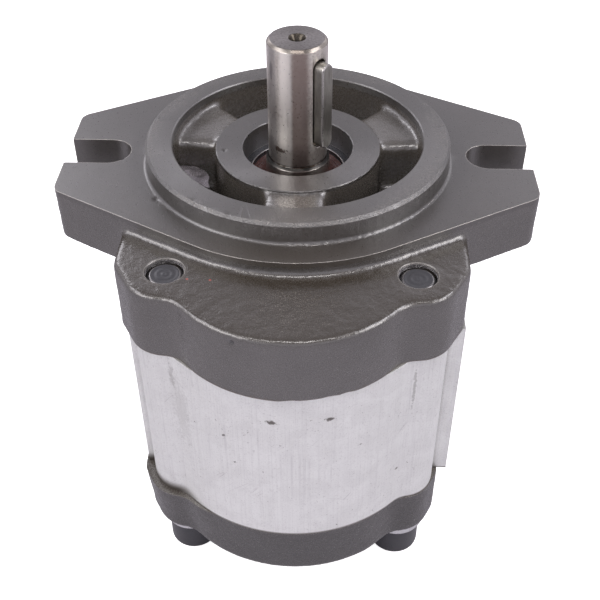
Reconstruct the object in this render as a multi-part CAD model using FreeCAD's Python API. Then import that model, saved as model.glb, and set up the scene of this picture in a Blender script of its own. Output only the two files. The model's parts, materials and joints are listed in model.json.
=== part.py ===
"""Hydraulic gear pump with a two-bolt flange, as separate solids, one STEP file per node.

Millimetres, +Z along the output end of the drive shaft. The origin is the centre of the pilot
on the flange's mounting face. The driven gear lies towards -Y, the ports face -X and +X.
"""
import FreeCAD, Part
import math
import os

Vec = FreeCAD.Vector
os.makedirs("parts", exist_ok=True)

# --- gear pair -------------------------------------------------------------------------------
module = 3.5
teeth = 11
pressure_angle = math.radians(25.0)
pitch_r = module * teeth / 2.0
centre_distance = 2.0 * pitch_r
tip_r = pitch_r + module
tip_to_root_gap = 0.8
root_r = centre_distance - tip_r - tip_to_root_gap
backlash = 0.30
gear_width = 22.0
side_gap = 0.05
driven_y = -centre_distance
middle_y = driven_y / 2.0

# --- stack along the shaft -------------------------------------------------------------------
mounting_face = 0.0
pilot_height = 6.0
flange_thickness = 15.2
shoulder_z = -4.0
housing_top = -22.7
housing_length = 54.3
rear_cover_thickness = 16.0
washer_thickness = 3.0
housing_bottom = housing_top - housing_length
rear_bottom = housing_bottom - rear_cover_thickness
gear_middle_z = (housing_top + housing_bottom) / 2.0

# --- flange and pilot ------------------------------------------------------------------------
pilot_r = 82.55 / 2.0
pilot_chamfer = 0.8
pilot_base_fillet = 0.8
flange_circle_r = 48.5
flange_side_angle = math.radians(30.0)
ear_end_x = 63.6
ear_corner_r = 4.0
slot_half_width = 6.0
slot_centre_x = 52.1

# --- recess inside the pilot -----------------------------------------------------------------
recess_r = 34.0
recess_floor = -12.0
hub_r = 22.5
hub_top = 2.7
boss_top = 1.6
boss_start = math.radians(5.0)
boss_end = math.radians(46.0)
web_half_width = 8.2
boss_edge_r = 2.0

# --- shaft, seal and key ---------------------------------------------------------------------
shaft_r = 15.875 / 2.0
shaft_end = 34.2
shaft_chamfer = 0.8
land_r = 8.73
land_top = 0.35
land_bevel = 0.75
land_taper = 0.5
seal_lip_gap = 0.02
seal_bore_r = 15.0
ring_groove_r = 15.7
ring_top = -4.3
ring_thickness = 1.2
ring_width = 2.8
seal_top = ring_top - ring_thickness
seal_width = 7.0
garter_r = 11.45
garter_wire_r = 0.5
garter_depth = 4.0
shaft_hole_r = 9.6
centre_hole_r = 1.25
centre_mouth_r = 2.3
centre_hole_depth = 3.5
key_width = 4.0
key_height = 5.0
key_bevel = 0.25
key_bottom = 6.2
key_top = 30.2
keyway_width = 4.5
keyway_depth = 2.4
keyway_end_gap = 0.6
key_angle = math.radians(-40.5)

# --- covers, housing and bolts ---------------------------------------------------------------
bolt_x = 30.6
bolt_y = -47.2
bolt_r = 4.7625
bolt_length = 91.0
thread_gap = 0.02
bolt_tip_bevel = 0.9
clear_hole_r = 5.1
head_r = 7.15
head_height = 11.0
socket_across_flats = 7.94
socket_depth = 5.0
washer_r = 8.2
washer_play = 0.25
tapped_mouth_r = 5.0
blind_hole_spare = 1.5
end_bevel = 0.6
join_overlap = 1.0
front_side_x = 43.8
rear_side_x = 42.0
cover_corner_r = 6.0
cover_flank_angle = math.radians(30.0)
front_lobe_r = 10.2
front_bulge = (33.5, driven_y)
rear_lobe_r = 10.0
rear_bulge = (40.0, -30.0)
housing_lobe_r = 9.2
housing_side_x = bolt_x + housing_lobe_r
saddle_r = 8.0
inlet_pad_x = 42.2
outlet_pad_x = 44.2
pad_half_length = 26.1
shoulder_edge_r = 1.2
shoulder_base_r = 1.6
rear_edge_r = 0.8
recess_mouth_bevel = 0.3
hub_bevel = 0.2

# --- inside the housing ----------------------------------------------------------------------
chamber_r = tip_r + 0.10
block_r = chamber_r - 0.05
block_length = (housing_length - gear_width - 2.0 * side_gap) / 2.0
journal_r = 9.0
bush_gap = 0.03
bush_outer_r = 10.25
bush_length = block_length - 0.6
journal_end_gap = 0.4
bush_setback = 0.3
shaft_relief_depth = 3.0
trap_relief_depth = 2.0
trap_relief_half = (4.0, 5.0)
trap_relief_x = 8.5

# --- ports and fasteners ---------------------------------------------------------------------
inlet_r = 10.0
outlet_r = 7.5
port_depth = 16.0
passage_end_x = 8.0
inlet_passage_r = 7.0
outlet_passage_r = 5.5
inlet_screw = (20.0, 4.0)
outlet_screw = (17.5, 3.0)
screw_hole_depth = 11.0
dowel_r = 2.5
dowel_length = 10.0
dowel_bevel = 0.3
dowel_x = 32.0
dowel_offset_y = 11.0

# --- seals -----------------------------------------------------------------------------------
groove_play = 0.05
body_seal_inner_r = 24.3
body_seal_width = 1.8
body_seal_depth = 1.3
balance_r = 19.7
balance_width = 3.2
balance_depth = 2.2
balance_seal_width = 2.2
balance_reach = math.radians(125.0)


def at(x, y, z=0.0):
    return Vec(x, y, z)


def polar(r, angle, x=0.0, y=0.0, z=0.0):
    return Vec(x + r * math.cos(angle), y + r * math.sin(angle), z)


def cylinder(r, z_low, z_high, x=0.0, y=0.0):
    return Part.makeCylinder(r, z_high - z_low, at(x, y, z_low))


def cone(r_low, r_high, z_low, z_high, x=0.0, y=0.0):
    return Part.makeCone(r_low, r_high, z_high - z_low, at(x, y, z_low))


def box(x_low, x_high, y_low, y_high, z_low, z_high):
    return Part.makeBox(x_high - x_low, y_high - y_low, z_high - z_low, at(x_low, y_low, z_low))


def line(a, b):
    return Part.LineSegment(a, b).toShape()


def arc(a, middle, b):
    return Part.Arc(a, middle, b).toShape()


def prism(edges, z_low, z_high):
    """A closed flat outline at z = 0, raised between two heights."""
    wire = Part.Wire(Part.__sortEdges__(edges))
    face = Part.Face(wire)
    face.translate(at(0, 0, z_low))
    return face.extrude(at(0, 0, z_high - z_low)).Solids[0]


def polygon_prism(points, z_low, z_high):
    wire = Part.makePolygon(points + [points[0]])
    face = Part.Face(wire)
    face.translate(at(0, 0, z_low))
    return face.extrude(at(0, 0, z_high - z_low))


def revolved(profile, x=0.0, y=0.0):
    """Turn an outline of (radius, height) points about a line along Z."""
    points = [at(r, 0, z) for r, z in profile]
    face = Part.Face(Part.makePolygon(points + [points[0]]))
    solid = face.revolve(at(0, 0, 0), at(0, 0, 1), 360)
    solid.translate(at(x, y, 0))
    return solid


def fuse_all(solids):
    result = solids[0]
    for other in solids[1:]:
        result = result.fuse(other)
    return result.removeSplitter()


def cut_all(solid, tools):
    return solid.cut(Part.makeCompound(tools))


def fillet_where(solid, radius, wanted):
    edges = [edge for edge in solid.Edges if wanted(edge)]
    return solid.makeFillet(radius, edges)


def save(shape, node):
    shape.exportStep(f"parts/{node}.step")
    solids = shape.Solids
    volume = sum(solid.Volume for solid in solids)
    print(f"{node}: {len(solids)} solid(s), {volume / 1000.0:.2f} cm3, valid {shape.isValid()}")


def bolt_places():
    """The four through bolts, on a rectangle about the middle of the gear pair."""
    far_y = 2.0 * middle_y - bolt_y
    return [(side * bolt_x, y) for y in (bolt_y, far_y) for side in (-1, 1)]


def dowel_places():
    return [(dowel_x, middle_y - dowel_offset_y), (-dowel_x, middle_y + dowel_offset_y)]


def gear_places():
    return [(0.0, 0.0), (0.0, driven_y)]


# --- outlines --------------------------------------------------------------------------------
def towards(a, b):
    return (b - a).normalize()


def quarter_outline(bulge, lobe_r, side_x, flank_angle):
    """One quarter of a cover's outline: bulge, hollow, bolt lobe, flank and side."""
    bulge_r, bulge_y = bulge
    bulge_c = at(0, bulge_y)
    lobe_c = at(bolt_x, bolt_y)
    span = lobe_c - bulge_c
    reach_a = bulge_r + saddle_r
    reach_b = lobe_r + saddle_r
    along = (span.Length ** 2 + reach_a ** 2 - reach_b ** 2) / (2.0 * span.Length)
    aside = math.sqrt(reach_a ** 2 - along ** 2)
    forward = towards(bulge_c, lobe_c)
    outward = at(forward.y, -forward.x)
    saddle_c = bulge_c + forward * along + outward * aside
    bulge_low = bulge_c + at(0, -bulge_r)
    bulge_end = bulge_c + towards(bulge_c, saddle_c) * bulge_r
    lobe_start = lobe_c + towards(lobe_c, saddle_c) * lobe_r
    lobe_end = lobe_c + polar(lobe_r, -flank_angle)
    half = towards(bulge_c, (bulge_low + bulge_end) * 0.5)
    edges = [arc(bulge_low, bulge_c + half * bulge_r, bulge_end)]
    dip = towards(saddle_c, (bulge_end + lobe_start) * 0.5)
    edges.append(arc(bulge_end, saddle_c + dip * saddle_r, lobe_start))
    round_middle = towards(lobe_c, (lobe_start + lobe_end) * 0.5)
    edges.append(arc(lobe_start, lobe_c + round_middle * lobe_r, lobe_end))
    if flank_angle == 0.0:
        edges.append(line(lobe_end, at(side_x, middle_y)))
        return edges
    flank = at(math.sin(flank_angle), math.cos(flank_angle))
    corner = lobe_end + flank * ((side_x - lobe_end.x) / flank.x)
    setback = cover_corner_r * math.tan(flank_angle / 2.0)
    corner_start = corner - flank * setback
    corner_end = corner + at(0, setback)
    corner_c = corner_end - at(cover_corner_r, 0)
    edges.append(line(lobe_end, corner_start))
    edges.append(arc(corner_start, corner_c + polar(cover_corner_r, -flank_angle / 2.0), corner_end))
    edges.append(line(corner_end, at(side_x, middle_y)))
    return edges


def full_outline(bulge, lobe_r, side_x, flank_angle):
    """The quarter mirrored left to right and about the middle of the gear pair."""
    quarter = quarter_outline(bulge, lobe_r, side_x, flank_angle)
    half = quarter + [edge.mirror(at(0, 0), at(1, 0)) for edge in quarter]
    return half + [edge.mirror(at(0, middle_y), at(0, 1)) for edge in half]


def flange_outline():
    """A round flange with two ears, their sides tangent to the circle."""
    tangent_angle = math.pi / 2.0 - flange_side_angle
    tangent = polar(flange_circle_r, tangent_angle)
    slope = math.tan(flange_side_angle)
    end_y = tangent.y - slope * (ear_end_x - tangent.x)
    corner_turn = math.pi / 2.0 - flange_side_angle
    setback = ear_corner_r * math.tan(corner_turn / 2.0)
    direction = at(math.cos(flange_side_angle), -math.sin(flange_side_angle))
    corner = at(ear_end_x, end_y)
    corner_start = corner - direction * setback
    corner_end = corner - at(0, setback)
    corner_c = corner_end - at(ear_corner_r, 0)
    edges = [arc(at(0, flange_circle_r), polar(flange_circle_r, (math.pi / 2.0 + tangent_angle) / 2.0),
                 tangent)]
    edges.append(line(tangent, corner_start))
    edges.append(arc(corner_start, corner_c + polar(ear_corner_r, corner_turn / 2.0), corner_end))
    edges.append(line(corner_end, at(ear_end_x, 0)))
    half = edges + [edge.mirror(at(0, 0), at(1, 0)) for edge in edges]
    return half + [edge.mirror(at(0, 0), at(0, 1)) for edge in half]


def wedge(start, end, reach, z_low, z_high, y=0.0):
    """A sector between two angles, wide enough to pass any turn up to a full circle."""
    steps = max(2, int(math.ceil((end - start) / math.radians(60.0))))
    points = [at(0, y)]
    for k in range(steps + 1):
        points.append(polar(reach, start + (end - start) * k / steps, 0, y))
    return polygon_prism(points, z_low, z_high)


# --- gears and shafts ------------------------------------------------------------------------
def involute(angle):
    return math.tan(angle) - angle


def tooth_outline(turn):
    """One tooth: radial root flanks, involute flanks and a tip arc."""
    base_r = pitch_r * math.cos(pressure_angle)
    half_at_pitch = math.pi / (2.0 * teeth) - backlash / (4.0 * pitch_r)
    half_at_base = half_at_pitch + involute(pressure_angle)
    flank_points = 8
    flank = []
    for k in range(flank_points + 1):
        r = base_r + (tip_r - base_r) * k / flank_points
        local = math.acos(min(1.0, base_r / r))
        flank.append((r, half_at_base - involute(local)))
    right = [polar(r, turn - angle) for r, angle in flank]
    left = [polar(r, turn + angle) for r, angle in flank]
    return right, left


def gear_body(first_turn, z_low, z_high):
    edges = []
    pitch_turn = 2.0 * math.pi / teeth
    for k in range(teeth):
        turn = first_turn + k * pitch_turn
        right, left = tooth_outline(turn)
        next_right, _ = tooth_outline(turn + pitch_turn)
        right_curve = Part.BSplineCurve()
        right_curve.interpolate(right)
        left_curve = Part.BSplineCurve()
        left_curve.interpolate(left)
        edges.append(right_curve.toShape())
        edges.append(arc(right[-1], polar(tip_r, turn), left[-1]))
        edges.append(left_curve.toShape())
        left_foot = towards(at(0, 0), left[0]) * root_r
        right_foot = towards(at(0, 0), next_right[0]) * root_r
        root_middle = polar(root_r, turn + pitch_turn / 2.0)
        edges.append(line(left[0], left_foot))
        edges.append(arc(left_foot, root_middle, right_foot))
        edges.append(line(right_foot, next_right[0]))
    return prism(edges, z_low, z_high)


gear_low = gear_middle_z - gear_width / 2.0
gear_high = gear_middle_z + gear_width / 2.0
journal_low = housing_bottom + journal_end_gap
mesh_turn = -math.pi / 2.0


def keyway_cut():
    """A round-ended slot along +X, turned to the key's direction afterwards."""
    half = keyway_width / 2.0
    floor_r = shaft_r - keyway_depth
    top = key_top + keyway_end_gap - half
    bottom = key_bottom - keyway_end_gap + half
    far_x = shaft_r + 2.0
    slot = box(floor_r, far_x, -half, half, bottom, top)
    reach = far_x - floor_r
    rounds = [Part.makeCylinder(half, reach, at(floor_r, 0, z), at(1, 0, 0)) for z in (bottom, top)]
    return fuse_all([slot] + rounds)


def shaft_key():
    half = key_width / 2.0
    floor_r = shaft_r - keyway_depth
    top = key_top - half
    bottom = key_bottom + half
    bar = box(floor_r, floor_r + key_height, -half, half, bottom, top)
    rounds = [Part.makeCylinder(half, key_height, at(floor_r, 0, z), at(1, 0, 0)) for z in (bottom, top)]
    key = fuse_all([bar] + rounds)
    face_x = floor_r + key_height
    edges = [edge for edge in key.Edges if all(abs(v.X - face_x) < 0.01 for v in edge.Vertexes)]
    key = key.makeChamfer(key_bevel, edges)
    key.rotate(at(0, 0), at(0, 0, 1), math.degrees(key_angle))
    return key


def drive_gear_shaft():
    journal_top = housing_top + 0.8
    body = revolved([
        (0, journal_low), (journal_r - end_bevel, journal_low), (journal_r, journal_low + end_bevel),
        (journal_r, journal_top), (land_r, journal_top + land_taper),
        (land_r, land_top - land_bevel), (land_r - land_bevel, land_top), (shaft_r, land_top),
        (shaft_r, shaft_end - shaft_chamfer), (shaft_r - shaft_chamfer, shaft_end), (0, shaft_end)])
    body = body.fuse(gear_body(mesh_turn, gear_low, gear_high))
    slot = keyway_cut()
    slot.rotate(at(0, 0), at(0, 0, 1), math.degrees(key_angle))
    mouth_bottom = shaft_end - (centre_mouth_r - centre_hole_r) / math.tan(math.radians(30.0))
    drill_bottom = mouth_bottom - centre_hole_depth
    point_bottom = drill_bottom - centre_hole_r * math.tan(math.radians(31.0))
    mouth = cone(centre_hole_r, centre_mouth_r, mouth_bottom, shaft_end)
    drill = cylinder(centre_hole_r, drill_bottom, mouth_bottom)
    point = cone(0.0, centre_hole_r, point_bottom, drill_bottom)
    return cut_all(body, [slot, fuse_all([mouth, drill, point])]).Solids[0]


def driven_gear_shaft():
    high = housing_top - journal_end_gap
    body = revolved([
        (0, journal_low), (journal_r - end_bevel, journal_low), (journal_r, journal_low + end_bevel),
        (journal_r, high - end_bevel), (journal_r - end_bevel, high), (0, high)])
    half_pitch = math.pi / teeth
    gear = gear_body(-mesh_turn + half_pitch, gear_low, gear_high)
    shaft = body.fuse(gear)
    shaft.translate(at(0, driven_y))
    return shaft.Solids[0]


# --- bearings --------------------------------------------------------------------------------
def figure_eight(r, z_low, z_high):
    return fuse_all([cylinder(r, z_low, z_high, x, y) for x, y in gear_places()])


def balance_track(r_inner, r_outer, z_low, z_high):
    """A figure-three band on the outlet side of a bearing block's outer face."""
    band = cylinder(r_outer, z_low, z_high).cut(cylinder(r_inner, z_low, z_high))
    low_angle = math.radians(-90.0)
    reach = 2.0 * r_outer
    band = band.common(wedge(low_angle, balance_reach, reach, z_low, z_high))
    upper = band.common(box(0, reach, middle_y, reach, z_low, z_high).fuse(
        box(-reach, 0, 0, reach, z_low, z_high)))
    lower = upper.mirror(at(0, middle_y), at(0, 1))
    return fuse_all([upper, lower])


def bearing_block(outer_z, direction):
    """A figure-eight block: outer_z is the face against the cover, direction points inwards."""
    inner_z = outer_z + direction * block_length
    z_low = min(outer_z, inner_z)
    z_high = max(outer_z, inner_z)
    block = figure_eight(block_r, z_low, z_high)
    groove_end = outer_z + direction * balance_depth
    groove = balance_track(balance_r - balance_width / 2.0, balance_r + balance_width / 2.0,
                           min(outer_z, groove_end), max(outer_z, groove_end))
    bores = [cylinder(bush_outer_r, z_low, z_high, x, y) for x, y in gear_places()]
    relief_low = min(inner_z, inner_z - direction * trap_relief_depth)
    half_x, half_y = trap_relief_half
    reliefs = [box(x - half_x, x + half_x, middle_y - half_y, middle_y + half_y,
                   relief_low, relief_low + trap_relief_depth) for x in (-trap_relief_x, trap_relief_x)]
    return cut_all(block, bores + reliefs + [groove]).Solids[0]


def balance_seal(outer_z, direction):
    r_inner = balance_r - balance_width / 2.0 + groove_play
    end = outer_z + direction * (balance_depth - groove_play)
    r_outer = r_inner + balance_seal_width
    return balance_track(r_inner, r_outer, min(outer_z, end), max(outer_z, end)).Solids[0]


def balance_backup(outer_z, direction):
    r_outer = balance_r + balance_width / 2.0 - groove_play
    r_inner = balance_r - balance_width / 2.0 + 2.0 * groove_play + balance_seal_width
    end = outer_z + direction * (balance_depth - groove_play)
    return balance_track(r_inner, r_outer, min(outer_z, end), max(outer_z, end)).Solids[0]


def bush(outer_z, direction, x, y):
    start = outer_z + direction * bush_setback
    end = start + direction * bush_length
    z_low = min(start, end)
    z_high = max(start, end)
    ring = cylinder(bush_outer_r, z_low, z_high, x, y)
    return ring.cut(cylinder(journal_r + bush_gap, z_low, z_high, x, y))


# --- housing ---------------------------------------------------------------------------------
def side_cylinder(r, depth, side, x_outer, y, z):
    return Part.makeCylinder(r, depth, at(side * x_outer, y, z), at(-side, 0, 0))


def port_cuts(side, pad_x, port_r, passage_r, screw):
    reach = pad_x - passage_end_x
    cuts = [side_cylinder(port_r, port_depth, side, pad_x, middle_y, gear_middle_z)]
    cuts.append(side_cylinder(passage_r, reach, side, pad_x, middle_y, gear_middle_z))
    screw_circle_r, screw_r = screw
    for k in range(4):
        turn = math.pi / 4.0 + k * math.pi / 2.0
        y = middle_y + screw_circle_r * math.cos(turn)
        z = gear_middle_z + screw_circle_r * math.sin(turn)
        cuts.append(side_cylinder(screw_r, screw_hole_depth, side, pad_x, y, z))
    return cuts


def body_seal_ring(play, z_low, z_high):
    outer = figure_eight(body_seal_inner_r + body_seal_width - play, z_low, z_high)
    return outer.cut(figure_eight(body_seal_inner_r + play, z_low, z_high))


def gear_housing():
    edges = full_outline(rear_bulge, housing_lobe_r, housing_side_x, 0.0)
    body = prism(edges, housing_bottom, housing_top)
    pads = box(-inlet_pad_x, outlet_pad_x, middle_y - pad_half_length, middle_y + pad_half_length,
               housing_bottom, housing_top)
    body = fuse_all([body, pads])
    half_dowel = dowel_length / 2.0
    cuts = [figure_eight(chamber_r, housing_bottom, housing_top)]
    cuts += [cylinder(clear_hole_r, housing_bottom, housing_top, x, y) for x, y in bolt_places()]
    for x, y in dowel_places():
        cuts.append(cylinder(dowel_r, housing_top - half_dowel, housing_top, x, y))
        cuts.append(cylinder(dowel_r, housing_bottom, housing_bottom + half_dowel, x, y))
    cuts += port_cuts(-1, inlet_pad_x, inlet_r, inlet_passage_r, inlet_screw)
    cuts += port_cuts(1, outlet_pad_x, outlet_r, outlet_passage_r, outlet_screw)
    for cut in cuts:
        body = body.cut(cut)
    return body.Solids[0]


# --- front cover -----------------------------------------------------------------------------
def boss_sector(start, end):
    outer = cylinder(recess_r + join_overlap, recess_floor, boss_top)
    ring = outer.cut(cylinder(hub_r - join_overlap, recess_floor, boss_top))
    return ring.common(wedge(start, end, 2.0 * recess_r, recess_floor, boss_top))


def is_circle_edge(edge, r, z):
    """True for an edge lying on a circle about the pilot's axis at one height."""
    flat = abs(edge.BoundBox.ZMin - z) < 0.01 and abs(edge.BoundBox.ZMax - z) < 0.01
    middle = edge.valueAt((edge.FirstParameter + edge.LastParameter) / 2.0)
    return flat and abs(math.hypot(middle.x, middle.y) - r) < 0.01


def is_shoulder_corner(edge):
    """The inside corner where the shoulder meets the round wall of the flange."""
    return is_circle_edge(edge, flange_circle_r, shoulder_z)


def is_boss_side(edge):
    """A long top edge of a boss or of the web, running from the hub to the pilot's wall."""
    flat = abs(edge.BoundBox.ZMin - boss_top) < 0.01 and abs(edge.BoundBox.ZMax - boss_top) < 0.01
    return flat and len(edge.Vertexes) == 2 and isinstance(edge.Curve, Part.Line)


def front_cover():
    skirt = prism(full_outline(front_bulge, front_lobe_r, front_side_x, cover_flank_angle),
                  housing_top, shoulder_z)
    skirt = fillet_where(skirt, shoulder_edge_r, lambda edge: edge.BoundBox.ZMin > shoulder_z - 0.01)
    flange = prism(flange_outline(), -flange_thickness, 0.0)
    slots = []
    for side in (-1, 1):
        slots.append(cylinder(slot_half_width, -flange_thickness, 0.0, side * slot_centre_x, 0))
        low_x = min(side * slot_centre_x, side * (ear_end_x + join_overlap))
        high_x = max(side * slot_centre_x, side * (ear_end_x + join_overlap))
        slots.append(box(low_x, high_x, -slot_half_width, slot_half_width, -flange_thickness, 0.0))
    flange = cut_all(flange, slots)
    spigot = revolved([
        (0, -join_overlap), (pilot_r, -join_overlap), (pilot_r, pilot_height - pilot_chamfer),
        (pilot_r - pilot_chamfer, pilot_height), (0, pilot_height)])
    skirt = fuse_all([skirt, flange])
    skirt = fillet_where(skirt, shoulder_base_r, is_shoulder_corner)
    body = fuse_all([skirt, spigot])
    body = fillet_where(body, pilot_base_fillet,
                        lambda edge: is_circle_edge(edge, pilot_r, mounting_face))
    recess = cylinder(recess_r, recess_floor, pilot_height)
    mouth = cone(recess_r, recess_r + recess_mouth_bevel, pilot_height - recess_mouth_bevel, pilot_height)
    body = body.cut(fuse_all([recess, mouth]))
    buried = recess_floor - join_overlap
    hub = revolved([(0, buried), (hub_r, buried), (hub_r, hub_top - hub_bevel),
                    (hub_r - hub_bevel, hub_top), (0, hub_top)])
    web = box(-web_half_width, web_half_width, -recess_r - join_overlap, 0, buried, boss_top)
    right_boss = boss_sector(boss_start, boss_end)
    left_boss = boss_sector(math.pi - boss_end, math.pi - boss_start)
    inside = fuse_all([web, right_boss, left_boss])
    body = fuse_all([body, hub, inside])
    body = fillet_where(body, boss_edge_r, is_boss_side)
    half_dowel = dowel_length / 2.0
    cuts = [cylinder(seal_bore_r, seal_top - seal_width, hub_top)]
    cuts.append(cylinder(ring_groove_r, seal_top, ring_top))
    cuts.append(cone(seal_bore_r, seal_bore_r + hub_bevel, hub_top - hub_bevel, hub_top))
    cuts.append(cylinder(shaft_hole_r, housing_top, hub_top))
    bolt_seat = rear_bottom - washer_thickness
    blind_top = bolt_seat + bolt_length + blind_hole_spare
    for x, y in bolt_places():
        if y < middle_y:
            cuts.append(cylinder(bolt_r + thread_gap, housing_top, shoulder_z, x, y))
            mouth_depth = tapped_mouth_r - bolt_r
            cuts.append(cone(bolt_r, tapped_mouth_r, shoulder_z - mouth_depth, shoulder_z, x, y))
        else:
            cuts.append(cylinder(bolt_r + thread_gap, housing_top, blind_top, x, y))
    cuts += [cylinder(dowel_r, housing_top, housing_top + half_dowel, x, y) for x, y in dowel_places()]
    cuts.append(body_seal_ring(0.0, housing_top, housing_top + body_seal_depth))
    for cut in cuts:
        body = body.cut(cut)
    return body.Solids[0]


# --- rear cover ------------------------------------------------------------------------------
def rear_cover():
    body = prism(full_outline(rear_bulge, rear_lobe_r, rear_side_x, cover_flank_angle),
                 rear_bottom, housing_bottom)
    body = fillet_where(body, rear_edge_r, lambda edge: edge.BoundBox.ZMax < rear_bottom + 0.01)
    half_dowel = dowel_length / 2.0
    cuts = [cylinder(clear_hole_r, rear_bottom, housing_bottom, x, y) for x, y in bolt_places()]
    cuts += [cylinder(dowel_r, housing_bottom - half_dowel, housing_bottom, x, y) for x, y in dowel_places()]
    cuts += [cylinder(journal_r + 0.5, housing_bottom - shaft_relief_depth, housing_bottom, x, y)
             for x, y in gear_places()]
    cuts.append(body_seal_ring(0.0, housing_bottom - body_seal_depth, housing_bottom))
    for cut in cuts:
        body = body.cut(cut)
    return body.Solids[0]


# --- shaft seal ------------------------------------------------------------------------------
def seal_case():
    wall = 0.9
    low = seal_top - seal_width
    mouth_r = 12.7
    return revolved([
        (seal_bore_r, low), (seal_bore_r, seal_top), (mouth_r, seal_top), (mouth_r, seal_top - wall),
        (seal_bore_r - wall, seal_top - wall), (seal_bore_r - wall, low)])


def seal_lip():
    """A dust lip towards the mouth and the main lip behind it, both close to the shaft land."""
    inner = land_r + seal_lip_gap
    return revolved([
        (12.65, seal_top), (11.3, seal_top), (10.4, seal_top - 0.9), (9.6, seal_top + 0.1),
        (inner, seal_top + 0.3), (inner, seal_top - 0.4), (9.9, seal_top - 2.2), (inner, seal_top - 4.6),
        (inner, seal_top - 5.2), (9.6, seal_top - 5.9), (11.9, seal_top - 6.0), (11.9, seal_top - 5.2),
        (10.8, seal_top - 4.7), (10.8, seal_top - 3.2), (12.65, seal_top - 1.6)])


def garter_spring():
    torus = Part.makeTorus(garter_r, garter_wire_r)
    torus.translate(at(0, 0, seal_top - garter_depth))
    return torus


def retaining_ring():
    """An internal ring with two eyes either side of its gap."""
    gap_turn = math.radians(28.0)
    facing = math.radians(100.0)
    outer_r = ring_groove_r - 0.1
    ring = cylinder(outer_r, seal_top, ring_top).cut(cylinder(outer_r - ring_width, seal_top, ring_top))
    gap = wedge(facing - gap_turn / 2.0, facing + gap_turn / 2.0, 2.0 * outer_r, seal_top, ring_top)
    eye_r = 1.9
    eye_hole_r = 0.8
    eye_place_r = seal_bore_r - eye_r - 0.2
    solids = [ring.cut(gap)]
    holes = []
    for side in (-1, 1):
        place = polar(eye_place_r, facing + side * (gap_turn / 2.0 + 0.12))
        solids.append(cylinder(eye_r, seal_top, ring_top, place.x, place.y))
        holes.append(cylinder(eye_hole_r, seal_top, ring_top, place.x, place.y))
    return cut_all(fuse_all(solids), holes).Solids[0]


# --- fasteners -------------------------------------------------------------------------------
def through_bolt(x, y):
    seat = rear_bottom - washer_thickness
    tip = seat + bolt_length
    bottom = seat - head_height
    profile = [(0, bottom), (head_r - end_bevel, bottom), (head_r, bottom + end_bevel), (head_r, seat),
               (bolt_r, seat), (bolt_r, tip - bolt_tip_bevel), (bolt_r - bolt_tip_bevel, tip), (0, tip)]
    bolt = revolved(profile, x, y)
    corner_r = socket_across_flats / 2.0 / math.cos(math.pi / 6.0)
    corners = [polar(corner_r, k * math.pi / 3.0, x, y) for k in range(6)]
    socket = polygon_prism(corners, bottom, bottom + socket_depth)
    return bolt.cut(socket).Solids[0]


def bolt_washer(x, y):
    seat = rear_bottom - washer_thickness
    disc = cylinder(washer_r, seat, rear_bottom, x, y)
    return disc.cut(cylinder(bolt_r + washer_play, seat, rear_bottom, x, y))


def dowel(x, y, joint_z):
    end = dowel_length / 2.0 - dowel_bevel
    low = joint_z - end
    high = joint_z + end
    return revolved([(0, low), (dowel_r - dowel_bevel, low), (dowel_r, low + dowel_bevel),
                     (dowel_r, high - dowel_bevel), (dowel_r - dowel_bevel, high), (0, high)], x, y)


# --- write every node ------------------------------------------------------------------------
save(front_cover(), "front_cover")
save(gear_housing(), "gear_housing")
save(rear_cover(), "rear_cover")
save(drive_gear_shaft(), "drive_gear_shaft")
save(driven_gear_shaft(), "driven_gear_shaft")
save(shaft_key(), "shaft_key")
save(seal_case(), "shaft_seal_case")
save(seal_lip(), "shaft_seal_lip")
save(garter_spring(), "seal_garter_spring")
save(retaining_ring(), "seal_retaining_ring")

for end_name, face_z, inwards in (("front", housing_top, -1), ("rear", housing_bottom, 1)):
    save(bearing_block(face_z, inwards), f"{end_name}_bearing_block")
    save(balance_seal(face_z, inwards), f"{end_name}_balance_seal")
    save(balance_backup(face_z, inwards), f"{end_name}_backup_ring")
    for gear_name, (gear_x, gear_y) in zip(("drive", "driven"), gear_places()):
        save(bush(face_z, inwards, gear_x, gear_y), f"{end_name}_{gear_name}_bush")
    dowels = [dowel(x, y, face_z) for x, y in dowel_places()]
    save(Part.makeCompound(dowels), f"{end_name}_dowel_pins")

body_seal_height = body_seal_depth - groove_play
save(body_seal_ring(groove_play, housing_top, housing_top + body_seal_height), "front_body_seal")
save(body_seal_ring(groove_play, housing_bottom - body_seal_height, housing_bottom), "rear_body_seal")
save(Part.makeCompound([through_bolt(x, y) for x, y in bolt_places()]), "through_bolts")
save(Part.makeCompound([bolt_washer(x, y) for x, y in bolt_places()]), "bolt_washers")
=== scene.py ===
"""Looks of the hydraulic gear pump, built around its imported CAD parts. Metres, in the CAD frame,
except where a name or a note says millimetres."""
import json
import math

import bmesh
import bpy
import numpy as np
from mathutils import Matrix, Vector
from mathutils.bvhtree import BVHTree
from mathutils.kdtree import KDTree

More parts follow.
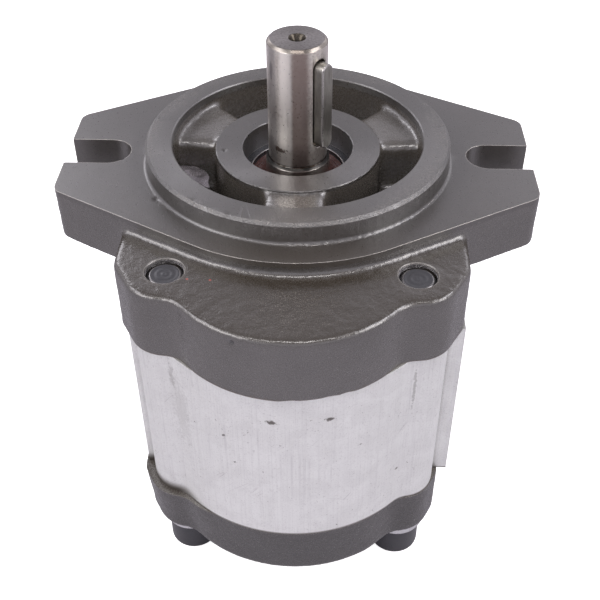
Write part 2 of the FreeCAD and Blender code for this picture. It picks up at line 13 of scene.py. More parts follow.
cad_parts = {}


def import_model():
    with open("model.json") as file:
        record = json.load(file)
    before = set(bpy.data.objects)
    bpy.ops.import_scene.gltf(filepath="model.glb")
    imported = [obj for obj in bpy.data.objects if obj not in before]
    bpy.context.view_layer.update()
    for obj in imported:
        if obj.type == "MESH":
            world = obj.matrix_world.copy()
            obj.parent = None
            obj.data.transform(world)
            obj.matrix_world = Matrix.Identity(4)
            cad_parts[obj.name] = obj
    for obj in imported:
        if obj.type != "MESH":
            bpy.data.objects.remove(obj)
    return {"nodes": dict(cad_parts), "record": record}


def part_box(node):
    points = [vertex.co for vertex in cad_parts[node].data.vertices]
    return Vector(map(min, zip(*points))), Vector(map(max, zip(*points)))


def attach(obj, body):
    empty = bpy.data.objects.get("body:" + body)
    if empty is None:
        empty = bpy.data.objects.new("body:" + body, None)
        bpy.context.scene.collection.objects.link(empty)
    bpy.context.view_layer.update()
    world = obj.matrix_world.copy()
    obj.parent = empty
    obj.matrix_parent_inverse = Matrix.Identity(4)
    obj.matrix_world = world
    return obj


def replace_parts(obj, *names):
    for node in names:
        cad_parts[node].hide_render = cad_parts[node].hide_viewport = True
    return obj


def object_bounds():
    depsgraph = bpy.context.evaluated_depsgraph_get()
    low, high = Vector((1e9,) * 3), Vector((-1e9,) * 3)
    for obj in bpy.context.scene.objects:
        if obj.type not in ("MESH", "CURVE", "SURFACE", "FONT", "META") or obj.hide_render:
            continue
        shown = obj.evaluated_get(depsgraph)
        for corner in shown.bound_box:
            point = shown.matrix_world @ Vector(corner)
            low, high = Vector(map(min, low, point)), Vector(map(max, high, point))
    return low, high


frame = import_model()
cad_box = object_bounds()
nodes = frame["nodes"]
MM = 0.001

# --- sizes of the pump, in millimetres --------------------------------------------------------
pilot = next(m for m in frame["record"]["mounts"] if m["name"] == "pilot_spigot")
pilot_r = pilot["dims"]["r_mm"]
recess_r = 34.0
hub_r = 22.5
slot_half = 6.0
slot_end_x = 43.0
bolt_x = 30.6
bolt_y = -47.2
bolt_mouth_r = 5.0
pair_middle_y = -19.25
shaft_land_top = 0.35
joint_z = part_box("gear_housing")[1][2] / MM
low_joint_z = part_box("gear_housing")[0][2] / MM

# Small marks, in millimetres: the flecks' centres, each aluminium mark's centre, reach and share of
# dirt, and each nick's x, y, z, reach and depth.
red_flecks = [(-24.7, -50.2, -4.0), (-19.2, -50.4, -4.0)]
aluminium_marks = [
    ((-4.2, -69.8, -32.5), (1.9, 2.0, 0.9), 0.9), ((10.1, -68.7, -31.8), (1.6, 2.0, 0.7), 0.9),
    ((-29.9, -57.1, -30.0), (0.8, 3.0, 5.0), 0.25), ((31.2, -56.5, -33.0), (0.6, 3.0, 8.0), 0.35),
    ((-16.6, -66.4, -41.2), (0.6, 1.0, 0.6), 0.8), ((-14.0, -67.5, -50.2), (0.6, 1.0, 0.6), 0.8),
    ((28.4, -58.2, -62.3), (0.6, 1.0, 0.6), 0.8), ((-28.0, -58.0, -42.0), (3.0, 6.0, 16.0), 0.12)]
front_nicks = [
    (-19.9, -3.2, 2.7, 0.55, 0.45), (-12.6, -69.5, -6.5, 0.7, 0.6), (-35.8, -22.8, 0.0, 0.6, 0.3),
    (-24.9, -32.0, 5.9, 0.7, 0.22), (-31.8, -25.8, 5.5, 0.5, 0.2), (-15.5, -37.7, 5.7, 0.9, 0.25)]


# --- material graphs --------------------------------------------------------------------------
class Graph:
    """A small writer of shader nodes around one Principled shader."""

    def __init__(self, name):
        self.material = bpy.data.materials.new(name)
        self.material.use_nodes = True
        self.tree = self.material.node_tree
        self.tree.nodes.clear()
        self.shader = self.add("ShaderNodeBsdfPrincipled")
        output = self.add("ShaderNodeOutputMaterial")
        self.join(self.shader.outputs["BSDF"], output.inputs["Surface"])
        self.place = self.add("ShaderNodeTexCoord").outputs["Object"]

    def add(self, kind, **settings):
        node = self.tree.nodes.new(kind)
        for key, value in settings.items():
            setattr(node, key, value)
        return node

    def join(self, source, target):
        self.tree.links.new(source, target)

    def feed(self, socket, value):
        """Join a socket to another, or set it to a number or a colour of three parts."""
        if isinstance(value, bpy.types.NodeSocket):
            self.join(value, socket)
        elif isinstance(value, tuple):
            socket.default_value = value + (1.0,)
        else:
            socket.default_value = value

    def set(self, **values):
        for key, value in values.items():
            self.feed(self.shader.inputs[key.replace("_", " ")], value)

    def scaled(self, scale, shift=(0, 0, 0), turn=0.0):
        """Object coordinates, scaled and shifted, after a turn about Y."""
        node = self.add("ShaderNodeMapping")
        self.join(self.place, node.inputs["Vector"])
        node.inputs["Scale"].default_value = scale
        node.inputs["Location"].default_value = shift
        if turn:
            tilt = self.add("ShaderNodeVectorRotate", rotation_type="Y_AXIS")
            tilt.inputs["Angle"].default_value = turn
            self.join(self.place, tilt.inputs["Vector"])
            self.join(tilt.outputs["Vector"], node.inputs["Vector"])
        return node.outputs["Vector"]

    def noise(self, per_mm, detail=3.0, rough=0.55, stretch=(1, 1, 1), warp=0.0, turn=0.0):
        """Noise with so many features to a millimetre, stretched along an axis by a factor."""
        node = self.add("ShaderNodeTexNoise")
        scale = [per_mm / (MM * s) for s in stretch]
        self.join(self.scaled(scale, turn=turn), node.inputs["Vector"])
        node.inputs["Scale"].default_value = 1.0
        node.inputs["Detail"].default_value = detail
        node.inputs["Roughness"].default_value = rough
        node.inputs["Distortion"].default_value = warp
        return node.outputs["Fac"]

    def ramp(self, value, low, high, low_out=0.0, high_out=1.0):
        """A smooth step between two values, which may run downwards."""
        node = self.add("ShaderNodeMapRange", interpolation_type="SMOOTHSTEP")
        self.feed(node.inputs["Value"], value)
        node.inputs["From Min"].default_value = low
        node.inputs["From Max"].default_value = high
        node.inputs["To Min"].default_value = low_out
        node.inputs["To Max"].default_value = high_out
        return node.outputs["Result"]

    def math(self, operation, a, b=0.0):
        node = self.add("ShaderNodeMath", operation=operation)
        self.feed(node.inputs[0], a)
        self.feed(node.inputs[1], b)
        return node.outputs[0]

    def times(self, a, b):
        return self.math("MULTIPLY", a, b)

    def most(self, a, b):
        return self.math("MAXIMUM", a, b)

    def magnitude(self, a):
        return self.math("ABSOLUTE", a)

    def mix(self, share, a, b):
        node = self.add("ShaderNodeMix", data_type="RGBA")
        self.feed(node.inputs["Factor"], share)
        self.feed(node.inputs["A"], a)
        self.feed(node.inputs["B"], b)
        return node.outputs["Result"]

    def attribute(self, name):
        return self.add("ShaderNodeAttribute", attribute_name=name).outputs["Fac"]

    def part_of(self, vector, axis):
        parts = self.add("ShaderNodeSeparateXYZ")
        self.join(vector, parts.inputs[0])
        return parts.outputs[axis]

    def along(self, axis):
        return self.part_of(self.place, axis)

    def facing(self, axis):
        return self.part_of(self.add("ShaderNodeNewGeometry").outputs["Normal"], axis)

    def around_axis(self):
        """The direction of the tool's lay, round Z."""
        return self.add("ShaderNodeTangent", direction_type="RADIAL", axis="Z").outputs["Tangent"]

    def spot(self, centre, reach, ragged=0.8):
        """1 at a point and 0 beyond a reach along each axis, with a ragged outline, in millimetres."""
        scale = [1.0 / (MM * r) for r in reach]
        shift = [-c / r for c, r in zip(centre, reach)]
        away = self.add("ShaderNodeVectorMath", operation="LENGTH")
        self.join(self.scaled(scale, shift), away.inputs[0])
        wander = self.math("SUBTRACT", self.noise(1.1, 3.0, 0.6), 0.5)
        ragged_away = self.math("ADD", away.outputs["Value"], self.times(wander, 2.0 * ragged))
        return self.ramp(ragged_away, 0.45, 0.95, 1.0, 0.0)

    def dab(self, colour, tint, share, centre, reach, ragged):
        """A colour with a share of a tint mixed in around one point."""
        return self.mix(self.times(self.spot(centre, reach, ragged), share), colour, tint)

    def rounded_normal(self, width_mm, samples):
        node = self.add("ShaderNodeBevel", samples=samples)
        node.inputs["Radius"].default_value = width_mm * MM
        return node.outputs["Normal"]

    def sharp_edge(self, width_mm):
        """1 close to a sharp edge and 0 away from it."""
        turn = self.add("ShaderNodeVectorMath", operation="DOT_PRODUCT")
        self.join(self.rounded_normal(width_mm, 6), turn.inputs[0])
        self.join(self.add("ShaderNodeNewGeometry").outputs["Normal"], turn.inputs[1])
        return self.ramp(turn.outputs["Value"], 0.985, 0.93)

    def shelter(self, reach_mm, start, full):
        """0 in the open and 1 in a corner or hole, between two shares of the light that gets in."""
        node = self.add("ShaderNodeAmbientOcclusion", samples=6)
        node.inputs["Distance"].default_value = reach_mm * MM
        return self.ramp(node.outputs["AO"], start, full)

    def bump(self, layers, edge_mm=0.0):
        """Bump layers, each (height field, depth in millimetres), over edges rounded in the shading."""
        normal = self.rounded_normal(edge_mm, 4) if edge_mm else None
        for field, depth_mm in layers:
            node = self.add("ShaderNodeBump")
            node.inputs["Strength"].default_value = 1.0
            node.inputs["Distance"].default_value = depth_mm * MM
            self.join(field, node.inputs["Height"])
            if normal is not None:
                self.join(normal, node.inputs["Normal"])
            normal = node.outputs["Normal"]
        self.join(normal, self.shader.inputs["Normal"])


# --- iron -------------------------------------------------------------------------------------
coat_dark = (0.040, 0.035, 0.030)
coat_light = (0.052, 0.046, 0.041)
coat_dusty = (0.076, 0.067, 0.057)
coat_pitted = (0.012, 0.011, 0.010)
coat_pore = (0.015, 0.014, 0.013)
painted_brown_reflection = (0.024, 0.016, 0.007)
coat_dull = (0.026, 0.022, 0.019)
chamfer_brown = (0.022, 0.018, 0.014)
painted_wall_shade = (0.016, 0.011, 0.005)
painted_near_reflection = (0.046, 0.034, 0.020)
rubbed_iron_and_glint = (0.27, 0.255, 0.235)
painted_edge_highlight = (0.60, 0.57, 0.52)
fleck_red = (0.30, 0.05, 0.03)


def coating(g, rub_and_glint):
    """Colour and metallic share of the satin coating on the iron, turned to bare metal by a share that
    holds both rubbed wear and painted glints.
    """
    blotch = g.noise(0.05, 3.0, 0.6)
    colour = g.mix(g.ramp(blotch, 0.35, 0.65), coat_dark, coat_light)
    colour = g.mix(g.attribute("dust"), colour, coat_dusty)
    # this share darkens the nicks' pits, the rear cover's cast sides and, as painted shade, the mouths
    # of the bolt holes
    colour = g.mix(g.attribute("pit"), colour, coat_pitted)
    return g.mix(rub_and_glint, colour, rubbed_iron_and_glint), g.ramp(rub_and_glint, 0.0, 1.0, 0.0, 0.8)


def iron_casting(name, ior):
    """Iron as cast: pebbled like orange peel, with painted glints on rough spots in its hollows, and a
    painted brown reflection where it faces up.
    """
    g = Graph(name)
    coarse = g.noise(0.62, 3.0, 0.5, warp=0.4)
    fine = g.noise(1.9, 4.0, 0.65)
    hollow = g.ramp(g.attribute("hollow"), 0.05, 0.13)
    clean = g.ramp(g.attribute("dust"), 0.0, 0.5, 1.0, 0.0)

    broken = g.ramp(g.noise(1.7, 4.0, 0.7), 0.48, 0.60)
    patchy = g.ramp(g.noise(0.10, 3.0, 0.6), 0.46, 0.60, 0.15, 0.9)
    rub_and_glint = g.times(g.times(g.ramp(g.attribute("edge"), 0.13, 0.30), broken), patchy)
    # painted glints: bright bare-metal colour on rough spots in the hollows, mixed in with the rubbed
    # wear
    glint = g.times(hollow, g.ramp(fine, 0.55, 0.62, 0.0, 0.8))
    sand = g.ramp(g.noise(1.2, 2.0, 0.6), 0.74, 0.78, 0.0, 0.8)
    rub_and_glint = g.most(g.most(rub_and_glint, glint), sand)
    clear_of_rub_and_glint = g.ramp(rub_and_glint, 0.0, 0.3, 1.0, 0.0)

    colour, metal = coating(g, rub_and_glint)
    pore = g.ramp(g.noise(1.4, 2.0, 0.5, warp=0.6), 0.30, 0.25, 0.0, 0.6)
    colour = g.mix(g.times(pore, clean), colour, coat_pore)
    # painted reflection: faces that face up are coloured darker and browner to stand in for what they
    # reflect
    upward = g.times(g.ramp(g.facing("Z"), 0.3, 0.8, 0.0, 0.9), clean)
    colour = g.mix(g.times(upward, clear_of_rub_and_glint), colour, painted_brown_reflection)
    for place in red_flecks:
        colour = g.mix(g.spot(place, (0.45, 0.45, 0.45), 0.3), colour, fleck_red)

    g.set(Base_Color=colour, Metallic=metal, Roughness=g.ramp(fine, 0.3, 0.7, 0.21, 0.33), IOR=ior)
    g.bump([(coarse, 0.12), (fine, 0.025), (g.times(fine, hollow), 0.34)])
    return g.material


def iron_machined(name, ior, anisotropic):
    """The machined faces of the iron: smooth, with the circular lay of the tool and rubbed edges, a
    painted highlight along the edges at and below the flange's top, painted shade on upright walls and a
    painted brown reflection on the near side.
    """
    g = Graph(name)
    speck = g.noise(1.5, 3.0, 0.65)
    fine = g.noise(3.0, 2.0, 0.5)
    grain = g.noise(2.4, 3.0, 0.7)
    chamfer = g.attribute("chamfer")

    edge = g.sharp_edge(0.28)
    patchy = g.ramp(g.noise(0.07, 2.0, 0.5), 0.40, 0.52, 0.15, 1.0)
    broken = g.ramp(g.noise(1.3, 4.0, 0.7), 0.42, 0.56)
    rub_and_glint = g.times(g.times(edge, broken), g.times(patchy, 0.6))
    # worn edge with a painted highlight: sharp edges at and below the flange's top are rubbed and
    # coloured bright
    flange_edge_wear_and_highlight = g.times(edge, g.ramp(g.along("Z"), 1.2 * MM, 0.4 * MM))
    rub_and_glint = g.most(rub_and_glint, g.times(flange_edge_wear_and_highlight, g.ramp(broken, 0.0, 1.0, 0.55, 1.0)))
    rub_and_glint = g.most(rub_and_glint, g.ramp(g.noise(0.9, 2.0, 0.6), 0.74, 0.78, 0.0, 0.7))
    chipped = g.ramp(g.noise(0.09, 2.0, 0.5), 0.42, 0.54, 0.2, 1.0)
    chips = g.times(g.ramp(grain, 0.50, 0.60), chipped)
    rub_and_glint = g.most(rub_and_glint, g.times(chips, chamfer))
    clear_of_rub_and_glint = g.ramp(rub_and_glint, 0.0, 0.3, 1.0, 0.0)

    colour, metal = coating(g, rub_and_glint)
    # painted highlight along the flange's edges
    colour = g.mix(flange_edge_wear_and_highlight, colour, painted_edge_highlight)
    dull = g.times(g.ramp(grain, 0.38, 0.62, 0.0, 0.8), g.ramp(rub_and_glint, 0.0, 0.4, 1.0, 0.0))
    colour = g.mix(dull, colour, coat_dull)
    colour = g.mix(g.times(chamfer, g.times(clear_of_rub_and_glint, 0.8)), colour, chamfer_brown)
    # painted shade: upright walls above the flange's top coloured dark brown
    upright = g.ramp(g.magnitude(g.facing("Z")), 0.5, 0.2, 0.0, 0.8)
    pilot_wall = g.times(upright, g.ramp(g.along("Z"), 0.3 * MM, 0.8 * MM))
    colour = g.mix(g.times(pilot_wall, clear_of_rub_and_glint), colour, painted_wall_shade)
    # painted reflection: the near side, towards -Y, tinted brown
    near = g.ramp(g.along("Y"), -34.0 * MM, -54.0 * MM, 0.0, 0.6)
    colour = g.mix(g.times(near, clear_of_rub_and_glint), colour, painted_near_reflection)

    g.set(Base_Color=colour, Metallic=metal, Roughness=g.ramp(speck, 0.3, 0.7, 0.27, 0.37), IOR=ior,
          Anisotropic=anisotropic, Anisotropic_Rotation=0.25, Tangent=g.around_axis())
    g.bump([(fine, 0.03), (grain, 0.03), (g.times(grain, chamfer), 0.16)], edge_mm=0.25)
    return g.material


# --- aluminium and steel ----------------------------------------------------------------------
def extruded_aluminium():
    """Drawn aluminium: faint streaks along Z, smudges, scratches, a dark joint with the iron, darker
    towards that joint on the left, and painted shade in corners and holes.
    """
    g = Graph("extruded_aluminium")
    streak = g.noise(1.1, 4.0, 0.65, stretch=(1, 1, 150))
    faint = g.noise(2.5, 3.0, 0.6, stretch=(1, 1, 70))
    streaked = g.ramp(g.noise(0.06, 3.0, 0.6), 0.42, 0.62)
    cloud = g.noise(0.11, 5.0, 0.62, warp=0.5)
    grain = g.noise(2.1, 5.0, 0.75)

    colour = g.mix(g.ramp(cloud, 0.35, 0.68), (0.88, 0.89, 0.865), (0.81, 0.815, 0.795))
    colour = g.mix(g.ramp(faint, 0.45, 0.70, 0.0, 0.18), colour, (0.56, 0.555, 0.55))
    colour = g.mix(g.ramp(grain, 0.50, 0.68, 0.0, 0.4), colour, (0.54, 0.535, 0.52))
    lines = g.times(g.ramp(streak, 0.50, 0.66, 0.0, 0.40), streaked)
    lines = g.times(lines, g.ramp(g.along("Z"), -70.0 * MM, -45.0 * MM, 0.45, 1.0))
    colour = g.mix(lines, colour, (0.60, 0.595, 0.59))
    dark_dots = g.times(g.ramp(grain, 0.63, 0.71), g.ramp(cloud, 0.42, 0.58, 0.25, 0.9))
    colour = g.mix(dark_dots, colour, (0.30, 0.285, 0.27))
    pits = g.ramp(g.noise(0.8, 3.0, 0.7, warp=1.0), 0.67, 0.72)
    colour = g.mix(g.times(pits, g.ramp(cloud, 0.40, 0.55)), colour, (0.20, 0.18, 0.165))

    for turn in (-0.45, 0.9):
        band = g.noise(0.5, 1.0, 0.5, stretch=(60, 60, 1), turn=turn)
        line = g.magnitude(g.math("SUBTRACT", band, 0.5))
        scratched = g.ramp(g.noise(0.09, 2.0), 0.62, 0.68)
        scratch = g.times(g.ramp(line, 0.0, 0.010, 0.4, 0.0), scratched)
        colour = g.mix(scratch, colour, (0.42, 0.40, 0.40))
    for centre, reach, share in aluminium_marks:
        colour = g.dab(colour, (0.13, 0.115, 0.10), share, centre, reach, 1.3)

    above_joint = g.math("SUBTRACT", g.along("Z"), low_joint_z * MM)
    # darker towards the lower joint on the left side, and a dark line right at the joint
    left = g.ramp(g.along("X"), -24.0 * MM, -33.0 * MM)
    dirt_and_shade = g.times(g.ramp(above_joint, 0.6 * MM, 4.2 * MM, 1.0, 0.0), left)
    dirt_and_shade = g.most(dirt_and_shade, g.ramp(above_joint, 0.2 * MM, 0.7 * MM, 0.8, 0.0))
    # painted shade in corners, from how little light reaches them
    dirt_and_shade = g.most(dirt_and_shade, g.times(g.shelter(2.5, 0.80, 0.30), 0.8))
    colour = g.mix(dirt_and_shade, colour, (0.115, 0.10, 0.085))
    # painted shade deep in holes and bores
    painted_hole_shade = g.times(g.shelter(40.0, 0.40, 0.12), 0.9)
    colour = g.mix(painted_hole_shade, colour, (0.07, 0.065, 0.06))

    g.set(Base_Color=colour, Metallic=0.7, Roughness=g.ramp(cloud, 0.3, 0.7, 0.44, 0.56))
    g.bump([(cloud, 0.07), (grain, 0.06), (streak, 0.015)], edge_mm=0.3)
    return g.material


def ground_steel():
    """Steel ground round its axis, with bands along it of painted highlight, painted shade and brown
    that is partly tarnish and partly painted reflection, grime above its shoulder, and painted shade on
    its top, below its land and in its centre hole.
    """
    g = Graph("ground_steel")
    scratch = g.noise(4.0, 2.0, 0.6, stretch=(20, 20, 1))
    grain = g.noise(1.6, 3.0, 0.6)
    stain = g.noise(0.30, 5.0, 0.7)
    tarnish = g.noise(0.12, 3.0, 0.6)

    colour = g.mix(g.ramp(grain, 0.35, 0.65), (0.62, 0.585, 0.535), (0.76, 0.725, 0.665))
    colour = g.mix(g.ramp(tarnish, 0.45, 0.7, 0.0, 0.4), colour, (0.48, 0.39, 0.35))
    # brown band along the near side, partly tarnish and partly painted reflection
    colour = g.dab(colour, (0.34, 0.265, 0.235), 0.85, (0.9, -7.9, 12.0), (3.4, 5.0, 60.0), 0.12)
    # painted highlight along the near side
    colour = g.dab(colour, (1.0, 0.955, 0.885), 1.0, (-2.9, -7.4, 12.0), (2.3, 5.0, 60.0), 0.12)
    # painted shade along the near side
    colour = g.dab(colour, (0.36, 0.34, 0.33), 0.6, (-6.4, -4.7, 12.0), (1.7, 4.0, 60.0), 0.10)

    # painted shade: the chamfer and the end face at the top darkened where they face up
    at_top = g.ramp(g.along("Z"), 32.5 * MM, 33.0 * MM)
    chamfer = g.times(g.ramp(g.facing("Z"), 0.3, 0.45), at_top)
    colour = g.mix(g.times(chamfer, 0.8), colour, (0.24, 0.215, 0.185))
    end_face = g.ramp(g.facing("Z"), 0.9, 0.97, 0.0, 0.8)
    end_colour = g.mix(g.ramp(grain, 0.4, 0.6), (0.20, 0.185, 0.185), (0.27, 0.255, 0.25))
    colour = g.mix(end_face, colour, end_colour)
    colour = g.dab(colour, (0.10, 0.06, 0.04), 0.85, (-4.5, -6.5, 5.2), (2.6, 3.0, 0.9), 0.9)
    colour = g.dab(colour, (0.16, 0.15, 0.16), 0.5, (-6.6, -4.6, 27.3), (0.8, 1.2, 3.4), 0.15)
    colour = g.mix(g.ramp(stain, 0.78, 0.84, 0.0, 0.25), colour, (0.14, 0.09, 0.065))

    from_land = g.magnitude(g.math("SUBTRACT", g.along("Z"), shaft_land_top * MM))
    patchy = g.ramp(stain, 0.35, 0.55, 0.6, 1.0)
    grime = g.times(g.ramp(from_land, 0.1 * MM, 0.8 * MM, 1.0, 0.0), patchy)
    colour = g.mix(grime, colour, (0.045, 0.032, 0.024))
    # painted shade below the land's top, leaving its lowest rim lighter
    below = g.ramp(g.along("Z"), (shaft_land_top - 0.05) * MM, (shaft_land_top + 0.05) * MM, 0.95, 0.0)
    rim = g.ramp(g.along("Z"), (shaft_land_top - 0.62) * MM, (shaft_land_top - 0.70) * MM, 1.0, 0.3)
    colour = g.mix(g.times(below, rim), colour, (0.030, 0.029, 0.027))
    # painted shade in the centre hole at the top end
    by_centre = g.spot((0.0, 0.0, 33.0), (5.0, 5.0, 12.0), 0.0)
    in_centre_hole = g.times(by_centre, g.ramp(g.facing("Z"), 0.95, 0.85))
    colour = g.mix(g.times(in_centre_hole, 0.92), colour, (0.06, 0.052, 0.04))

    g.set(Base_Color=colour, Metallic=1.0, Roughness=g.ramp(grain, 0.2, 0.8, 0.26, 0.38),
          Anisotropic=0.7, Anisotropic_Rotation=0.25, Tangent=g.around_axis())
    g.bump([(scratch, 0.001), (grain, 0.003)])
    return g.material


def key_steel():
    """The key: drawn steel, stained in patches, with fine scratches along it."""
    g = Graph("key_steel")
    patch = g.noise(0.55, 4.0, 0.65, stretch=(1, 1, 3.5))
    grain = g.noise(2.2, 4.0, 0.7)
    scratch = g.noise(3.0, 2.0, 0.6, stretch=(1, 1, 14))
    colour = g.mix(g.ramp(patch, 0.38, 0.66), (0.38, 0.37, 0.335), (0.27, 0.26, 0.235))
    colour = g.mix(g.ramp(grain, 0.58, 0.72, 0.0, 0.45), colour, (0.09, 0.08, 0.075))
    g.set(Base_Color=colour, Metallic=1.0, Roughness=g.ramp(patch, 0.3, 0.7, 0.27, 0.40))
    g.bump([(scratch, 0.008), (grain, 0.03)])
    return g.material


def bolt_steel():
    """Black oxide on the bolts, with the rings that the lathe left on their ends."""
    g = Graph("black_bolt_steel")
    ring_mm = 1.5
    grain = g.noise(2.5, 3.0, 0.6)
    mottle = g.noise(0.5, 3.0, 0.6)
    side = g.math("SUBTRACT", g.magnitude(g.along("X")), bolt_x * MM)
    from_middle = g.magnitude(g.math("ADD", g.along("Y"), -pair_middle_y * MM))
    deep = g.math("SUBTRACT", from_middle, (pair_middle_y - bolt_y) * MM)
    from_axis = g.math("SQRT", g.math("ADD", g.times(side, side), g.times(deep, deep)))
    rings = g.math("SINE", g.times(from_axis, 2.0 * math.pi / (ring_mm * MM)))
    on_end = g.times(rings, g.ramp(g.facing("Z"), 0.9, 0.97))
    colour = g.mix(mottle, (0.048, 0.048, 0.053), (0.070, 0.070, 0.076))
    g.set(Base_Color=colour, Metallic=0.25, Roughness=g.ramp(grain, 0.25, 0.75, 0.27, 0.38))
    g.bump([(grain, 0.02), (on_end, 0.035)])
    return g.material


def plain(name, colour, roughness, metallic, spread=0.2, depth=0.01):
    """A small part's finish: mottled colour, uneven roughness and a light grain."""
    g = Graph(name)
    grain = g.noise(2.5, 3.0, 0.6)
    mottle = g.noise(0.3, 3.0, 0.6)
    light = tuple(c * (1.0 + spread) for c in colour)
    dark = tuple(c * (1.0 - spread) for c in colour)
    g.set(Base_Color=g.mix(mottle, dark, light), Metallic=metallic,
          Roughness=g.ramp(grain, 0.25, 0.75, roughness - 0.05, roughness + 0.06))
    g.bump([(grain, depth)], edge_mm=0.15)
    return g.material


finishes = {
    "iron_casting": iron_casting("iron_casting", 2.2),
    "dull_casting": iron_casting("dull_casting", 1.95),
    "iron_machined": iron_machined("iron_machined", 2.1, 0.25),
    "iron_turned": iron_machined("iron_turned", 2.35, 0.85),
    "extruded_aluminium": extruded_aluminium(),
    "ground_steel": ground_steel(),
    "key_steel": key_steel(),
    "worn_steel": plain("worn_steel", (0.50, 0.48, 0.465), 0.30, 1.0, spread=0.35, depth=0.03),
    "dull_edge": plain("dull_edge", (0.30, 0.29, 0.29), 0.22, 0.9, spread=0.4, depth=0.02),
    "seal_case_metal": plain("seal_case_metal", (0.05, 0.05, 0.055), 0.35, 0.3),
    "seal_rubber": plain("seal_rubber", (0.095, 0.030, 0.022), 0.28, 0.0),
    "flash_iron": plain("flash_iron", (0.40, 0.37, 0.39), 0.26, 0.7, spread=0.35, depth=0.03),
    "spring_steel": plain("spring_steel", (0.5, 0.5, 0.5), 0.3, 1.0),
    "ring_steel": plain("ring_steel", (0.16, 0.16, 0.17), 0.3, 0.9),
    "bearing_aluminium": plain("bearing_aluminium", (0.6, 0.6, 0.6), 0.4, 1.0),
    "black_rubber": plain("black_rubber", (0.02, 0.02, 0.02), 0.5, 0.0),
    "backup_plastic": plain("backup_plastic", (0.7, 0.68, 0.62), 0.5, 0.0, spread=0.05),
    "bush_bronze": plain("bush_bronze", (0.5, 0.33, 0.17), 0.35, 1.0),
    "dowel_steel": plain("dowel_steel", (0.45, 0.45, 0.45), 0.3, 1.0),
    "black_bolt_steel": bolt_steel(),
    "washer_steel": plain("washer_steel", (0.75, 0.75, 0.76), 0.3, 1.0),
}
slots = {part["node"]: part["material_slot"] for part in frame["record"]["subparts"]}

for node, slot in slots.items():
    nodes[node].data.materials.clear()
    nodes[node].data.materials.append(finishes[slot])


# --- castings ---------------------------------------------------------------------------------
def lattice_noise(points, wavelength_mm, seed):
    """Smooth noise from -1 to 1 at points in millimetres, the same at every run."""
    table = np.random.default_rng(seed).uniform(-1.0, 1.0, 4096)
    scaled = points / wavelength_mm + 500.0
    cell = np.floor(scaled).astype(np.int64)
    t = scaled - cell
    t = t * t * (3.0 - 2.0 * t)
    total = np.zeros(len(points))
    for corner in range(8):
        step = np.array([corner & 1, (corner >> 1) & 1, corner >> 2])
        share = np.prod(np.where(step, t, 1.0 - t), axis=1)
        x, y, z = (cell + step).T
        total += share * table[(x * 73856093 ^ y * 19349663 ^ z * 83492791) % 4096]
    return total


def fade(value, start, end):
    """0 before start, 1 after end, smooth between; start may be the larger."""
    t = np.clip((value - start) / (end - start), 0.0, 1.0)
    return t * t * (3.0 - 2.0 * t)


def pulled(items, key, count, kind=np.float32):
    """One property of all of a mesh's items, as a flat array."""
    values = np.empty(count, kind)
    items.foreach_get(key, values)
    return values


def applied(thing):
    """Turn what a thing's modifiers make of it into its mesh."""
    graph = bpy.context.evaluated_depsgraph_get()
    mesh = bpy.data.meshes.new_from_object(thing.evaluated_get(graph))
    thing.modifiers.clear()
    thing.data = mesh
    return mesh


def level_shading(thing, **settings):
    """Let the large faces decide the shading at the edges they share with small ones."""
    level = thing.modifiers.new("level", "WEIGHTED_NORMAL")
    level.weight = 80
    for key, value in settings.items():
        setattr(level, key, value)


